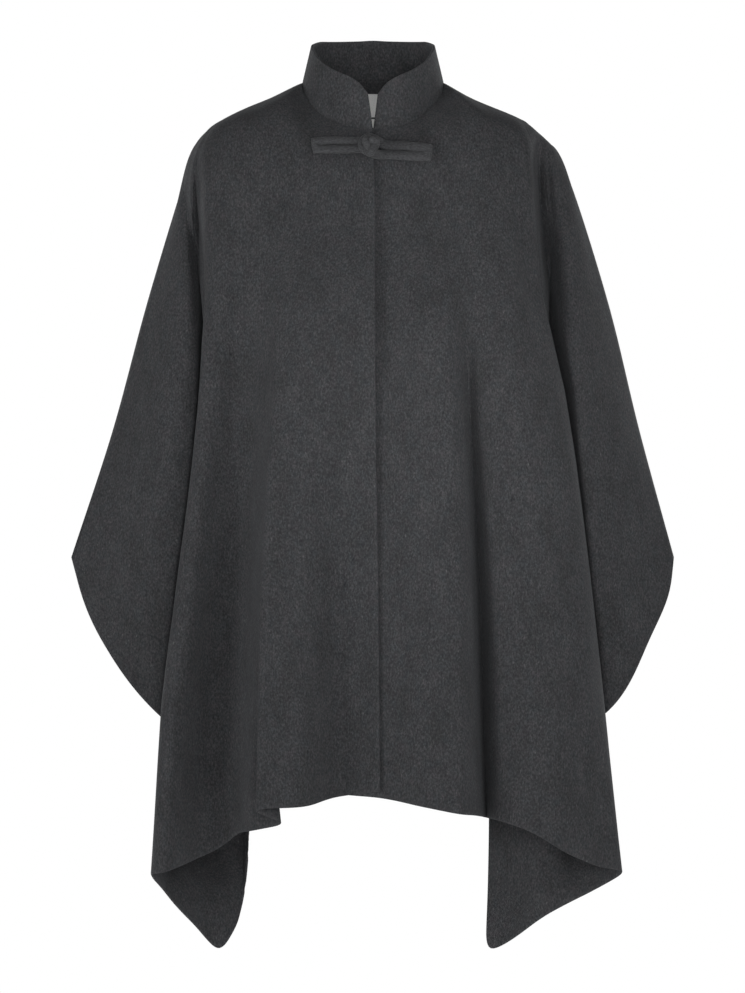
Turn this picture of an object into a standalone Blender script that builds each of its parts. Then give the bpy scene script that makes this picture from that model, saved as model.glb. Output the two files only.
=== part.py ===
"""A wool poncho with a stand collar, an open front and one knot-and-loop fastening, worn with no wearer.

The origin is at the base of the neck, between the shoulders, where the poncho rests on whoever wears it.
+Z is up, the front faces -Y, and the wearer's left is at +X. Sizes are in millimetres until a mesh is made.

Each cloth panel is a fan of "runs". A run starts at the neck seam or the shoulder seam, passes the yoke,
the upper and the lower level, and ends on the cut edge: along the hem, round the free corner and up the
side edge to the end of the overarm seam. A row of a panel's table is one run, on a ridge, in a valley or
at the turn of a fold, so neighbouring rows draw the folds.
"""

from collections import namedtuple
from math import cos, pi, radians, sin

import bmesh
import bpy
import numpy as np
from mathutils import Vector
from mathutils.bvhtree import BVHTree

MM = 0.001

# Cloth
WALL = 2.8  # double-faced wool
COLLAR_WALL = 3.0
SEAM_GAP = 0.3

# Neck seam: half width, depth to the front and back, and the height at the front, side and back
NECK_HALF_WIDTH = 80.0
NECK_FRONT, NECK_BACK = 67.0, 62.0
NECK_FRONT_Z, NECK_SIDE_Z, NECK_BACK_Z = -53.0, 5.0, 14.0

# The wearer's right front laps over the left one, which lies this much deeper at the opening
LAP_DEPTH = 5.5
LAP_FADE_DEG = 30.0

# Collar rim
RIM_HALF_WIDTH = 69.5
RIM_FRONT, RIM_BACK = 62.0, 58.0
COLLAR_ROWS = 5

Rim = namedtuple("Rim", "base_deg rim_deg rim_z")  # angles from the centre front round to the back
COLLAR_RIM = [
    Rim(0, 4.5, -12),  # the rounded front corner
    Rim(8, 12.5, 1),
    Rim(20, 24, 9),
    Rim(40, 42, 18),
    Rim(60, 60, 29),
    Rim(75, 74, 40),
    Rim(90, 90, 49),
    Rim(120, 120, 56),
    Rim(180, 180, 60),
]

# Seam over the shoulder and down the overarm, in the plane between front and back
Seam = namedtuple("Seam", "shoulder yoke upper lower end")  # shoulder is a curve, the others are (x, z)
SEAM = {
    "right": Seam([(80, 5), (111, -10), (136, -20), (160, -31), (173, -38), (184, -48), (193, -59)],
                  (213, -98), (258, -246), (298, -394), (346, -541)),
    "left": Seam([(80, 5), (90, -1), (116, -15), (139, -24), (163, -34), (175, -40), (187, -51), (198, -65)],
                 (222, -100), (269, -247), (305, -394), (345, -541)),
}

# A run of cloth. "cells" is how many strips lie between this run and the next. "top" is where it starts:
# 0 to 1 along the neck seam from the centre, 1 to 2 out along the shoulder seam.
Run = namedtuple("Run", "name cells top yoke_x yoke_y yoke_z upper_x upper_y lower_x lower_y "
                        "edge_x edge_y edge_z")

FRONT_RIGHT = [
    Run("lap edge", 2, 0.00, -2, -96, -125, -3, -139, -6, -160, -8, -178, -796),
    Run("soft valley", 2, 0.22, 30, -96, -122, 33, -138, 37, -148, 42, -160, -804),
    Run("flat of the front", 2, 0.44, 62, -94, -118, 68, -140, 72, -165, 75, -190, -811),
    Run("crest", 2, 0.66, 98, -88, -113, 108, -134, 122, -172, 128, -205, -815),
    Run("tuck behind the crest", 2, 0.78, 110, -85, -111, 117, -122, 128, -155, 103, -182, -831),
    Run("layer under the tuck", 2, 0.88, 122, -82, -109, 130, -112, 142, -132, 146, -152, -844),
    Run("broad valley", 1, 1.00, 144, -77, -106, 155, -97, 168, -108, 176, -124, -866),
    Run("flank", 1, 1.30, 166, -71, -103, 174, -100, 192, -121, 206, -134, -879),
    Run("front of the side fold", 1, 1.58, 187, -63, -100, 191, -101, 215, -137, 236, -158, -888),
    Run("turn of the side fold", 1, 1.72, 198, -52, -98, 200, -90, 230, -123, 247, -144, -891),
    Run("back of the side fold", 2, 1.76, 201, -46, -97, 195, -77, 223, -105, 240, -124, -906),
    Run("hem of the turned layer", 2, 1.79, 203, -42, -96, 191, -72, 208, -92, 201, -98, -955),
    Run("free corner", 2, 1.81, 205, -39, -96, 188, -66, 192, -80, 174, -78, -982),
    Run("side edge, low", 1, 1.84, 207, -33, -96, 184, -60, 172, -70, 151, -66, -943),
    Run("side edge, straight", 2, 1.87, 209, -27, -96, 182, -54, 162, -62, 143, -58, -875),
    Run("inner turn", 2, 1.90, 211, -22, -96, 182, -47, 162, -52, 149, -48, -811),
    Run("side edge, behind", 1, 1.93, 213, -17, -97, 193, -48, 190, -55, 195, -44, -760),
    Run("side edge, at the fold", 1, 1.955, 214, -12, -97, 209, -57, 226, -66, 251, -44, -712),
    Run("side edge, middle", 1, 1.975, 215, -8, -97, 232, -42, 264, -46, 300, -29, -651),
    Run("side edge, high", 1, 1.99, 215.5, -4, -98, 247, -20, 285, -21, 330, -12, -595),
]

FRONT_LEFT = [
    Run("underlap edge", 2, 0.00, -22, -90, -122, -34, -131, -36, -142, -36, -153, -801),
    Run("under the lap edge", 1, 0.10, 6, -90, -123, 8, -132, 10, -153, 12, -171, -804),
    Run("flat of the front", 2, 0.28, 34, -95, -121, 40, -142, 44, -168, 46, -186, -810),
    Run("beside the groove", 1, 0.50, 66, -93, -118, 84, -144, 94, -173, 95, -193, -819),
    Run("near lip of the groove", 1, 0.64, 88, -90, -116, 99, -139, 109, -166, 115, -183, -823),
    Run("groove", 1, 0.71, 95, -88, -115, 108, -118, 121, -124, 127, -140, -829),
    Run("far lip of the groove", 2, 0.78, 103, -86, -114, 117, -134, 132, -160, 138, -176, -829),
    Run("broad ridge", 2, 0.90, 124, -83, -111, 148, -137, 168, -160, 176, -180, -841),
    Run("flank", 2, 1.00, 146, -77, -108, 176, -128, 204, -154, 216, -168, -865),
    Run("front of the side fold", 1, 1.40, 168, -69, -105, 206, -104, 240, -128, 255, -142, -883),
    Run("turn of the side fold", 1, 1.60, 183, -60, -102, 219, -84, 251, -104, 277, -124, -889),
    Run("back of the side fold", 2, 1.68, 187, -51, -100, 212, -71, 243, -90, 272, -110, -899),
    Run("hem of the turned layer", 2, 1.71, 189, -48, -100, 207, -67, 223, -83, 196, -92, -941),
    Run("free corner", 2, 1.74, 191, -45, -99, 202, -62, 200, -74, 134, -74, -983),
    Run("side edge, low", 1, 1.79, 196, -39, -98, 196, -57, 172, -66, 131, -66, -923),
    Run("side edge, straight", 2, 1.84, 201, -33, -98, 193, -51, 160, -58, 133, -58, -855),
    Run("inner turn", 2, 1.88, 206, -27, -98, 194, -44, 163, -48, 141, -48, -796),
    Run("side edge, behind", 1, 1.915, 211, -21, -98, 205, -50, 198, -57, 198, -46, -755),
    Run("side edge, at the fold", 1, 1.94, 216, -15, -99, 223, -64, 243, -69, 269, -46, -713),
    Run("side edge, middle", 1, 1.965, 220, -9, -99, 245, -46, 278, -49, 313, -31, -639),
    Run("side edge, high", 1, 1.985, 222.5, -4, -100, 259, -22, 298, -22, 338, -12, -585),
]

# Half of the back, for either side
BACK_HALF = [
    Run("centre back", 2, 0.00, 0, 100, -78, 0, 128, 0, 150, 0, 166, -812),
    Run("first valley", 2, 0.22, 34, 99, -80, 34, 120, 38, 132, 42, 142, -815),
    Run("first ridge", 2, 0.45, 68, 96, -84, 72, 131, 82, 158, 92, 182, -822),
    Run("second valley", 2, 0.68, 100, 91, -88, 106, 112, 118, 124, 132, 138, -833),
    Run("second ridge", 2, 0.88, 130, 84, -92, 140, 120, 158, 142, 176, 162, -850),
    Run("flank", 2, 1.00, 155, 74, -95, 168, 100, 192, 116, 212, 132, -868),
    Run("turn of the side fold", 1, 1.55, 184, 58, -97, 192, 80, 214, 96, 236, 108, -884),
    Run("back of the side fold", 2, 1.68, 191, 49, -97, 190, 68, 209, 84, 231, 92, -890),
    Run("free corner", 1, 1.75, 196, 42, -97, 184, 60, 188, 70, 190, 72, -942),
    Run("side edge, low", 1, 1.80, 200, 36, -97, 180, 54, 170, 62, 165, 64, -905),
    Run("side edge, straight", 1, 1.85, 204, 30, -97, 180, 48, 162, 54, 158, 56, -850),
    Run("inner turn", 1, 1.89, 207, 25, -97, 183, 42, 164, 46, 164, 48, -795),
    Run("side edge, behind", 1, 1.925, 210, 19, -97, 196, 42, 194, 46, 205, 43, -748),
    Run("side edge, at the fold", 1, 1.955, 213, 13, -97, 215, 46, 233, 50, 250, 38, -700),
    Run("side edge, middle", 1, 1.98, 215, 6, -98, 240, 31, 272, 33, 308, 22, -628),
]
LEFT_BACK_FOLD_GAIN = 0.85  # the folds of the back are shallower on the wearer's left
BACK_FOLD_RUNS = 6
BACK_FOLD_MEAN_Y = (0, 119, 139, 155)  # at the yoke (unused there), upper, lower and edge level

# Strips down a run: neck or shoulder seam, shelf, yoke, upper, lower, cut edge
STRIPS_DOWN = (2, 2, 5, 5, 6)
YOKE_ARCH = (0.25, 0.8, 1.0)  # roundness of the yoke at the centre, the neck side and the shoulder end
OVERARM_CROWN = 2.5  # how far the seam bulges just past the shoulder end

# Slope of the cloth where it meets the collar, at the side of the neck and at its front and back
CLOTH_RISE_SIDE_DEG, CLOTH_RISE_FRONT_DEG = 23.0, 62.0

# Fastening: cords of rolled cloth
CORD_RADIUS = 3.9
CORD_SIDES = 8
CORD_GAP = 0.7  # from the cloth, over its flat facets
KNOT_X, KNOT_Z = -3.0, -73.4
KNOT_STAND_OFF = 29.0
STRAP_Z, STRAP_PITCH = -74.0, 9.4  # two cords, one above the other
STRAP_END_X, STRAP_NEAR_X = -64.0, -9.5
STEM_LENGTH = 16.4  # the lower cord turns forward to the knot, through the loop
LOOP_FAR_X, LOOP_NEAR_X, LOOP_PITCH = 61.0, 15.0, 10.6
LOOP_Z = ((-5, 15, 61), (-74.0, -79.0, -82.0))  # the height of its middle at these places along X
LOOP_RISE = 9.7  # of the bend, over the strap's cords
LOOP_HALF_OPENING = 8.3  # round the stem
KNOT_HALF_WIDTH, KNOT_HALF_DEPTH, KNOT_HALF_HEIGHT = 9.4, 8.0, 12.4
KNOT_TURNS, KNOT_TURN_DEPTH = 3, 0.12
KNOT_SEGMENTS, KNOT_RINGS = 24, 14

# Plain woven labels, inside the back below the neck seam
LABEL_WIDTH, LABEL_TOP_Z, LABEL_FOOT_Z = 52.0, -1.0, -27.0
TAB_WIDTH, TAB_TOP_Z, TAB_FOOT_Z = 12.0, -29.0, -39.0
LABEL_WALL = 0.6
LABEL_GAP = 0.5

# Looks: colour, roughness
WOOL = ((0.042, 0.043, 0.045, 1.0), 0.95)
CORD_CLOTH = ((0.046, 0.047, 0.049, 1.0), 0.9)
LABEL_CLOTH = ((0.52, 0.52, 0.52, 1.0), 0.7)


# ---------------------------------------------------------------- curves

def blend(a, b, at_a, at_b, t):
    return a + (b - a) * (t - at_a) / (at_b - at_a)


def unit(v):
    return v / np.linalg.norm(v)


def through(points, steps_per_span):
    """A centripetal Catmull-Rom curve through the points."""
    points = np.asarray(points, float)
    ends = [2 * points[0] - points[1], *points, 2 * points[-1] - points[-2]]
    curve = [points[0]]
    for span, steps in enumerate(steps_per_span):
        p = ends[span:span + 4]
        knots = np.cumsum([0.0] + [max(np.linalg.norm(p[i + 1] - p[i]), 1e-6) ** 0.5 for i in range(3)])
        for step in range(1, steps + 1):
            t = knots[1] + (knots[2] - knots[1]) * step / steps
            a = [blend(p[i], p[i + 1], knots[i], knots[i + 1], t) for i in range(3)]
            b = [blend(a[i], a[i + 1], knots[i], knots[i + 2], t) for i in range(2)]
            curve.append(blend(b[0], b[1], knots[1], knots[2], t))
    return np.array(curve)


# ---------------------------------------------------------------- neck and shoulder

def side_sign(side):
    return 1 if side == "left" else -1


def lap_recess(degrees, side):
    """How much deeper the underlap's end of the neck seam lies."""
    if side == "right":
        return 0.0
    return LAP_DEPTH * (1 - min(degrees / LAP_FADE_DEG, 1.0)) ** 2


def neck_point(degrees, side):
    """A point of the neck seam, by the angle from the centre front (0) to the centre back (180)."""
    turn = radians(degrees)
    depth, end_z = (NECK_FRONT, NECK_FRONT_Z) if cos(turn) > 0 else (NECK_BACK, NECK_BACK_Z)
    x = side_sign(side) * NECK_HALF_WIDTH * sin(turn)
    y = -depth * cos(turn) + lap_recess(degrees, side)
    z = NECK_SIDE_Z + (end_z - NECK_SIDE_Z) * abs(cos(turn))
    return np.array([x, y, z])


def rim_point(degrees, side):
    """The point of the collar's rim that stands over neck_point."""
    base = [row.base_deg for row in COLLAR_RIM]
    turn = radians(np.interp(degrees, base, [row.rim_deg for row in COLLAR_RIM]))
    depth = RIM_FRONT if cos(turn) > 0 else RIM_BACK
    x = side_sign(side) * RIM_HALF_WIDTH * sin(turn)
    y = -depth * cos(turn) + lap_recess(degrees, side)
    z = np.interp(degrees, base, [row.rim_z for row in COLLAR_RIM])
    return np.array([x, y, z])


def neck_frame(degrees, side):
    """The mitre between panel and collar: its direction up the cloth, and across it, outwards."""
    turn = radians(degrees)
    inward = unit(-neck_point(degrees, side) * (1, 1, 0))
    if abs(degrees - 90) < 1e-6:
        along = np.array([0.0, 1.0, 0.0])
    else:
        along = unit(neck_point(degrees + 1, side) - neck_point(degrees - 1, side))
    rise = radians(CLOTH_RISE_SIDE_DEG + (CLOTH_RISE_FRONT_DEG - CLOTH_RISE_SIDE_DEG) * cos(turn) ** 2)
    cloth = inward * cos(rise) + np.array([0.0, 0.0, sin(rise)])
    collar = unit(rim_point(degrees, side) - neck_point(degrees, side))
    up = unit(cloth + collar)
    across = unit(np.cross(along, up))
    return up, across if np.dot(across, inward) < 0 else -across


def seam_across(fall_x, fall_z, sign):
    """Across the shoulder and overarm seam, outwards, in its own plane. The seam runs out and down."""
    return unit(np.array([sign * abs(fall_z), 0.0, abs(fall_x)]))


def top_point(top, side, facing):
    """Where a run starts, and the direction there across the wall, outwards."""
    if top <= 1:
        degrees = 90 * top if facing < 0 else 180 - 90 * top
        up, across = neck_frame(degrees, side)
        point = neck_point(degrees, side) - up * SEAM_GAP / 2
        if top == 1:
            point[1] = facing * SEAM_GAP / 2
        return point, across
    sign = side_sign(side)
    xs, zs = zip(*SEAM[side].shoulder, SEAM[side].yoke)
    x = xs[0] + (xs[-2] - xs[0]) * (top - 1)
    before, here, after = np.interp([x - 5, x, x + 5], xs, zs)
    return np.array([sign * x, facing * SEAM_GAP / 2, here]), seam_across(10, after - before, sign)


# ---------------------------------------------------------------- panels

def stations(runs, side, facing):
    """The yoke, upper, lower and edge points of each run, with the overarm seam as the last run."""
    sign = side_sign(side)
    rows = []
    for run in runs:
        heights = np.linspace(run.yoke_z, run.edge_z, 4)
        places = ((run.yoke_x, run.yoke_y), (run.upper_x, run.upper_y),
                  (run.lower_x, run.lower_y), (run.edge_x, run.edge_y))
        rows.append([(sign * x, y, z) for (x, y), z in zip(places, heights)])
    seam = SEAM[side]
    rows.append([(sign * x, facing * SEAM_GAP / 2, z)
                 for x, z in (seam.yoke, seam.upper, seam.lower, seam.end)])
    return np.array(rows, float)


def panel_grid(runs, rows, side, facing):
    """Points of a panel's middle surface, [run][row], and the directions across its wall."""
    cells = [run.cells for run in runs]
    starts = starts_of(runs)
    levels = [through(rows[:, level], cells) for level in range(4)]
    columns = []
    across = []
    for i, start in enumerate(starts):
        top, top_across = top_point(start, side, facing)
        yoke, upper, lower, edge = (level[i] for level in levels)
        middle = (top + yoke) / 2
        corner = np.array([middle[0], yoke[1], top[2]])
        arch = np.interp(start, (0, 1, 2), YOKE_ARCH)
        shelf = middle + (corner - middle) * arch / 2
        if i == len(starts) - 1:
            shelf = middle + seam_across(*(yoke - top)[[0, 2]], side_sign(side)) * OVERARM_CROWN
        columns.append(through([top, shelf, yoke, upper, lower, edge], STRIPS_DOWN))
        across.append(top_across)
    grid = np.array(columns)
    return grid, wall_directions(grid, across, side, facing)


def wall_directions(grid, top_across, side, facing):
    """Unit vectors across the wall, outwards. Along the seams they stay in the seam's own plane."""
    normals = np.cross(np.gradient(grid, axis=0), np.gradient(grid, axis=1))
    normals /= np.linalg.norm(normals, axis=2, keepdims=True)
    if normals[1, sum(STRIPS_DOWN) // 2, 1] * facing < 0:
        normals = -normals
    normals[:, 0] = top_across
    fall = np.gradient(grid[-1], axis=0)
    for row in range(1, len(fall)):
        normals[-1, row] = seam_across(fall[row, 0], fall[row, 2], side_sign(side))
    return normals


def wall_mesh(name, grid, across, wall, look):
    """A closed wall: the grid's two faces, moved apart, and the rim all round."""
    wide, deep = grid.shape[:2]
    points = np.concatenate([(grid + across * wall / 2).reshape(-1, 3),
                             (grid - across * wall / 2).reshape(-1, 3)])
    shift = wide * deep
    faces = []
    for i in range(wide - 1):
        for j in range(deep - 1):
            a, b = i * deep + j, (i + 1) * deep + j
            pair = halves(points, a, b, b + 1, a + 1)
            faces += pair
            faces += [tuple(shift + k for k in reversed(face)) for face in pair]
    rim = [i * deep for i in range(wide)]
    rim += [(wide - 1) * deep + j for j in range(1, deep)]
    rim += [i * deep + deep - 1 for i in range(wide - 2, -1, -1)]
    rim += list(range(deep - 2, 0, -1))
    for a, b in zip(rim, rim[1:] + rim[:1]):
        faces += halves(points, b, a, shift + a, shift + b)
    return add_object(name, points, faces, look)


def halves(points, a, b, c, d):
    """A four-sided face as two triangles, cut along its shorter diagonal."""
    if np.linalg.norm(points[a] - points[c]) < np.linalg.norm(points[b] - points[d]):
        return [(a, b, c), (a, c, d)]
    return [(a, b, d), (b, c, d)]


def add_object(name, points, faces, look):
    """A mesh object, with all faces turned outwards."""
    mesh = bpy.data.meshes.new(name)
    mesh.from_pydata([tuple(point * MM) for point in points], [], faces)
    build = bmesh.new()
    build.from_mesh(mesh)
    if build.calc_volume(signed=True) < 0:
        bmesh.ops.reverse_faces(build, faces=build.faces)
    build.to_mesh(mesh)
    build.free()
    mesh.shade_smooth()
    mesh.set_sharp_from_angle(angle=radians(50))
    mesh.materials.append(material(name, look))
    thing = bpy.data.objects.new(name, mesh)
    bpy.context.scene.collection.objects.link(thing)
    return thing


def material(name, look):
    colour, roughness = look
    made = bpy.data.materials.new(name)
    made.use_nodes = True
    shader = made.node_tree.nodes["Principled BSDF"]
    shader.inputs["Base Color"].default_value = colour
    shader.inputs["Roughness"].default_value = roughness
    shader.inputs["Metallic"].default_value = 0.0
    return made


def front(name, runs, side):
    grid, across = panel_grid(runs, stations(runs, side, -1), side, -1)
    return wall_mesh(name, grid, across, WALL, WOOL), neck_starts(runs)


def starts_of(runs):
    """The value of top for each line of points, those between two runs included."""
    cells = [run.cells for run in runs]
    tops = [run.top for run in runs] + [2.0]
    return np.interp(np.arange(sum(cells) + 1), np.cumsum([0] + cells), tops)


def neck_starts(runs):
    """The values of top, up to the side of the neck, where a panel has points on the neck seam."""
    return [start for start in starts_of(runs) if start <= 1]


def back():
    """Both halves of the back, from the wearer's right round to the left, as one panel."""
    right_rows = stations(BACK_HALF, "right", 1)
    left_rows = stations(BACK_HALF, "left", 1)
    for level in range(1, 4):
        middle = BACK_FOLD_MEAN_Y[level]
        for row in range(1, BACK_FOLD_RUNS):
            left_rows[row, level, 1] = middle + (left_rows[row, level, 1] - middle) * LEFT_BACK_FOLD_GAIN
    right, right_across = panel_grid(BACK_HALF, right_rows, "right", 1)
    left, left_across = panel_grid(BACK_HALF, left_rows, "left", 1)
    grid = np.concatenate([right[::-1], left[1:]])
    across = np.concatenate([right_across[::-1], left_across[1:]])
    centre = len(right) - 1
    across[centre, :, 0] = 0
    across[centre] /= np.linalg.norm(across[centre], axis=1, keepdims=True)
    return wall_mesh("back", grid, across, WALL, WOOL), neck_starts(BACK_HALF)


def collar(right_starts, back_starts, left_starts):
    """The stand collar, from the lap's end round the back to the underlap's end."""
    ring = [(90 * start, "right") for start in right_starts]
    ring += [(180 - 90 * start, "right") for start in back_starts[-2::-1]]
    ring += [(180 - 90 * start, "left") for start in back_starts[1:]]
    ring += [(90 * start, "left") for start in left_starts[-2::-1]]
    base = []
    across = []
    rim = []
    for degrees, side in ring:
        up, direction = neck_frame(degrees, side)
        base.append(neck_point(degrees, side) + up * SEAM_GAP / 2)
        across.append(direction)
        rim.append(rim_point(degrees, side))
    base, rim, across = np.array(base), np.array(rim), np.array(across)
    steps = np.linspace(0, 1, COLLAR_ROWS + 1)[None, :, None]
    grid = base[:, None] * (1 - steps) + rim[:, None] * steps
    normals = np.cross(np.gradient(grid, axis=0), np.gradient(grid, axis=1))
    normals /= np.linalg.norm(normals, axis=2, keepdims=True)
    if normals[len(ring) // 2, 2, 1] < 0:
        normals = -normals
    normals[:, 0] = across
    return wall_mesh("collar", grid, normals, COLLAR_WALL, WOOL)


# ---------------------------------------------------------------- fastening and labels

def surface_of(*things):
    """The meshes of several objects as one surface to lay things on, in metres."""
    points = []
    faces = []
    for thing in things:
        first = len(points)
        points += [vertex.co for vertex in thing.data.vertices]
        faces += [tuple(first + k for k in face.vertices) for face in thing.data.polygons]
    return BVHTree.FromPolygons(points, faces)


def laid_on(surface, x, z, facing, lift):
    """The point over (x, z) that lies lift off the surface, seen from the front (-1) or the inside (1)."""
    start = Vector((x, -400.0 if facing < 0 else 0.0, z)) * MM
    place, normal, _, _ = surface.ray_cast(start, Vector((0.0, 1.0, 0.0)))
    if normal.y > 0:
        normal = -normal
    return np.array(place) / MM + np.array(normal) * lift


def cord(name, points, closed=False):
    """A round cord along the points."""
    curve = bpy.data.curves.new(name, "CURVE")
    curve.dimensions = "3D"
    curve.bevel_depth = CORD_RADIUS * MM
    curve.bevel_resolution = CORD_SIDES // 2 - 2
    curve.use_fill_caps = not closed
    spline = curve.splines.new("POLY")
    spline.points.add(len(points) - 1)
    for target, point in zip(spline.points, points):
        target.co = (*(point * MM), 1.0)
    spline.use_cyclic_u = closed
    curve.materials.append(material(name, CORD_CLOTH))
    thing = bpy.data.objects.new(name, curve)
    bpy.context.scene.collection.objects.link(thing)
    return thing


def strap_cord(surface):
    """The knot's strap: out along the front, round its end and back, then forward as the knot's stem."""
    half = STRAP_PITCH / 2
    out = np.linspace(STRAP_NEAR_X, STRAP_END_X + half, 6)
    route = [(x, half, 0) for x in out]
    route += [(STRAP_END_X, half * 0.55, 0), (STRAP_END_X, -half * 0.55, 0)]
    route += [(x, -half, 0) for x in out[:0:-1]]
    route += [(KNOT_X - 8, -half * 0.95, 0.2), (KNOT_X - 3.5, -half * 0.6, 1.6), (KNOT_X - 0.5, -half * 0.2, 5)]
    route += [(KNOT_X, 0, 9), (KNOT_X, 0, STEM_LENGTH)]
    points = [cord_point(surface, x, STRAP_Z + z, forward) for x, z, forward in route]
    return cord("frog_strap_right", through(points, [2] * (len(points) - 1)))


def loop_cord(surface):
    """The loop and its strap: one closed cord that passes over the knot's strap, behind the knot."""
    half = LOOP_PITCH / 2
    upper = [(LOOP_FAR_X, half * 0.55, 0), (LOOP_FAR_X - half, half, 0)]
    upper += [(x, half, 0) for x in np.linspace(LOOP_FAR_X - 14, LOOP_NEAR_X, 4)]
    upper += [(KNOT_X + 9, LOOP_HALF_OPENING * 0.9, LOOP_RISE * 0.25),
              (KNOT_X + 2, LOOP_HALF_OPENING, LOOP_RISE * 0.75),
              (KNOT_X - 4, LOOP_HALF_OPENING * 0.9, LOOP_RISE),
              (KNOT_X - LOOP_HALF_OPENING, LOOP_HALF_OPENING * 0.35, LOOP_RISE)]
    route = upper + [(x, -z, forward) for x, z, forward in reversed(upper)]
    points = [cord_point(surface, x, np.interp(x, *LOOP_Z) + z, forward) for x, z, forward in route]
    ring = through([*points, points[0]], [2] * len(points))[:-1]
    return cord("frog_loop", ring, closed=True)


def cord_point(surface, x, z, forward):
    """The middle of a cord that lies on the fronts, or that much forward of them."""
    return laid_on(surface, x, z, -1, CORD_RADIUS + CORD_GAP) - np.array([0.0, forward, 0.0])


def knot(surface):
    """The knot: a ball of cloth with slanting turns raised on it."""
    centre = laid_on(surface, KNOT_X, KNOT_Z, -1, 0) - np.array([0.0, KNOT_STAND_OFF, 0.0])
    points = [centre + (0, 0, KNOT_HALF_HEIGHT)]
    for ring in range(1, KNOT_RINGS):
        tilt = pi * ring / KNOT_RINGS
        for segment in range(KNOT_SEGMENTS):
            turn = 2 * pi * segment / KNOT_SEGMENTS
            swell = 1 - KNOT_TURN_DEPTH * (1 - abs(sin(KNOT_TURNS * (turn / 2 + tilt)))) * sin(tilt)
            points.append(centre + np.array([KNOT_HALF_WIDTH * swell * sin(tilt) * cos(turn),
                                             KNOT_HALF_DEPTH * swell * sin(tilt) * sin(turn),
                                             KNOT_HALF_HEIGHT * cos(tilt)]))
    points.append(centre - (0, 0, KNOT_HALF_HEIGHT))
    last = len(points) - 1
    faces = []
    for k in range(KNOT_SEGMENTS):
        after = (k + 1) % KNOT_SEGMENTS
        faces.append((0, 1 + k, 1 + after))
        for ring in range(KNOT_RINGS - 2):
            above, below = 1 + ring * KNOT_SEGMENTS, 1 + (ring + 1) * KNOT_SEGMENTS
            faces.append((above + k, below + k, below + after, above + after))
        low = 1 + (KNOT_RINGS - 2) * KNOT_SEGMENTS
        faces.append((low + k, last, low + after))
    return add_object("frog_knot", points, faces, CORD_CLOTH)


def label(name, surface, width, top_z, foot_z):
    """A plain woven rectangle that follows the inside of the back."""
    xs = np.linspace(-width / 2, width / 2, 7)
    zs = np.linspace(top_z, foot_z, 5)
    lift = LABEL_GAP + LABEL_WALL / 2
    grid = np.array([[laid_on(surface, x, z, 1, lift) for z in zs] for x in xs])
    across = np.zeros_like(grid)
    across[:, :, 1] = -1
    return wall_mesh(name, grid, across, LABEL_WALL, LABEL_CLOTH)


# ---------------------------------------------------------------- the whole

for old in list(bpy.data.objects):
    bpy.data.objects.remove(old, do_unlink=True)

front_right, right_starts = front("front_right", FRONT_RIGHT, "right")
front_left, left_starts = front("front_left", FRONT_LEFT, "left")
back_panel, back_starts = back()
collar(right_starts, back_starts, left_starts)

fronts = surface_of(front_right, front_left)
strap_cord(fronts)
loop_cord(fronts)
knot(fronts)

back_surface = surface_of(back_panel)
label("neck_label", back_surface, LABEL_WIDTH, LABEL_TOP_Z, LABEL_FOOT_Z)
label("size_tab", back_surface, TAB_WIDTH, TAB_TOP_Z, TAB_FOOT_Z)
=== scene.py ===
"""A charcoal wool poncho with a stand collar and a knotted cord fastening, as it looks when it is worn.

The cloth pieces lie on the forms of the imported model. Each is made again as a fine shell: the form's own
points are read, a smooth surface goes through them, the creases of the cloth are drawn in, and the shell
gets its thickness back, with rounded edges. Sizes are in metres, or in millimetres where a comment says so.
"""

from collections import namedtuple
from math import cos, pi, radians, sin

import bmesh
import bpy
import numpy as np
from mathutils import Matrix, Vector


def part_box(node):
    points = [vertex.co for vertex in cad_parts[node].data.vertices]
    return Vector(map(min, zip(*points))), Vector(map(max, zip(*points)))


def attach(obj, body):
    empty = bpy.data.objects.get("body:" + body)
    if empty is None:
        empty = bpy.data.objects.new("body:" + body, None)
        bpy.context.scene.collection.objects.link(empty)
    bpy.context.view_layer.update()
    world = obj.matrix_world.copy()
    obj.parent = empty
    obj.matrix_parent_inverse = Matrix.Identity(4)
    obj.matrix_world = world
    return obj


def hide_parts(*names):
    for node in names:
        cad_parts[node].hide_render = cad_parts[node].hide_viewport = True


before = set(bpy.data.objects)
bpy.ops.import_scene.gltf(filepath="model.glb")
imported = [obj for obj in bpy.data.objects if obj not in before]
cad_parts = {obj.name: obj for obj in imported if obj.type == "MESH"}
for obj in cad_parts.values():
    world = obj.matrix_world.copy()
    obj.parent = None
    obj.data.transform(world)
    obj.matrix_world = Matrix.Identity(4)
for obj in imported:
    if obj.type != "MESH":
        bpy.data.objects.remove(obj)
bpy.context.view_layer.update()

# ---------------------------------------------------------------- camera
# The photograph's view: straight at the front, from five metres off, a little above the middle. The lens and
# shift frame the poncho as the photograph does, at 1.15 mm a pixel on the plane of the shoulders.
PIXEL = 0.00115
LONG_SIDE = 993 * PIXEL
CAMERA_DISTANCE = 5.0
CAMERA_HEIGHT = -0.43
FRAME_CENTRE = (-0.0006, -0.4698)
SENSOR = 36

bpy.ops.object.select_all(action="DESELECT")
bpy.ops.object.camera_add(location=(FRAME_CENTRE[0], -CAMERA_DISTANCE, CAMERA_HEIGHT),
                          rotation=(pi / 2, 0, 0))
camera = bpy.context.object
camera.data.sensor_width = SENSOR
camera.data.lens = SENSOR * CAMERA_DISTANCE / LONG_SIDE
camera.data.shift_y = (FRAME_CENTRE[1] - CAMERA_HEIGHT) / LONG_SIDE
camera.data.clip_end = 60
bpy.context.scene.camera = camera


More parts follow.
